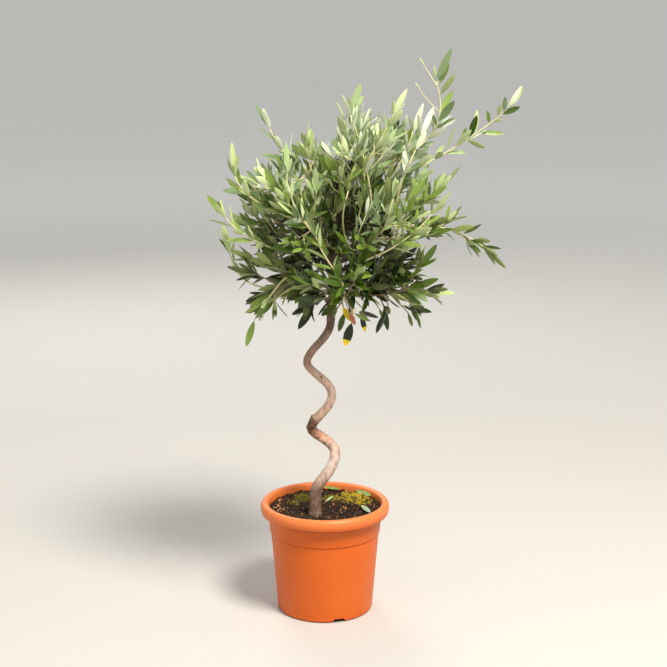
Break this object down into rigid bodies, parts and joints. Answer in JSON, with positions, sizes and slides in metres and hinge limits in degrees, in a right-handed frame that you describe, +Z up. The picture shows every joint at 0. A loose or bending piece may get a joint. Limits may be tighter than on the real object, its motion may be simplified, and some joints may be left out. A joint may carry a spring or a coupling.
{
  "type": "potted olive tree",
  "caption": "Young standard olive tree with a corkscrew stem and a round, loose crown of narrow grey-green leaves, in a plain terracotta-coloured plastic pot of potting mix.",
  "frame": {"origin": "centre of the pot's flat underside", "axes": "+Z up along the plant's height, -Y towards the pictured front, +X to the right in the picture"},
  "size_m": [0.4396, 0.3595, 0.8626],
  "materials": {
    "pot_plastic": "smooth satin, terracotta orange",
    "potting_mix": "loose dark compost",
    "bark": "smooth young bark",
    "leaves": "leathery, green above and paler below"
  },
  "bodies": {
    "root": {"pot": "pot_plastic", "potting_mix": "potting_mix", "trunk": "bark", "bough_low_left": "bark", "bough_low_front": "bark", "bough_low_right": "bark", "bough_low_right_back": "bark", "bough_low_left_back": "bark", "bough_mid_left": "bark", "bough_mid_left_front": "bark", "bough_mid_right_front": "bark", "bough_mid_right": "bark", "bough_mid_back": "bark", "bough_high_right": "bark", "bough_high_back": "bark", "bough_high_left": "bark", "bough_high_front": "bark", "foliage_low_left": "leaves", "foliage_low_front": "leaves", "foliage_low_right": "leaves", "foliage_low_right_back": "leaves", "foliage_low_left_back": "leaves", "foliage_mid_left": "leaves", "foliage_mid_left_front": "leaves", "foliage_mid_right_front": "leaves", "foliage_mid_right": "leaves", "foliage_mid_back": "leaves", "foliage_high_right": "leaves", "foliage_high_back": "leaves", "foliage_high_left": "leaves", "foliage_high_front": "leaves", "foliage_top": "leaves"}
  },
  "joints": []
}
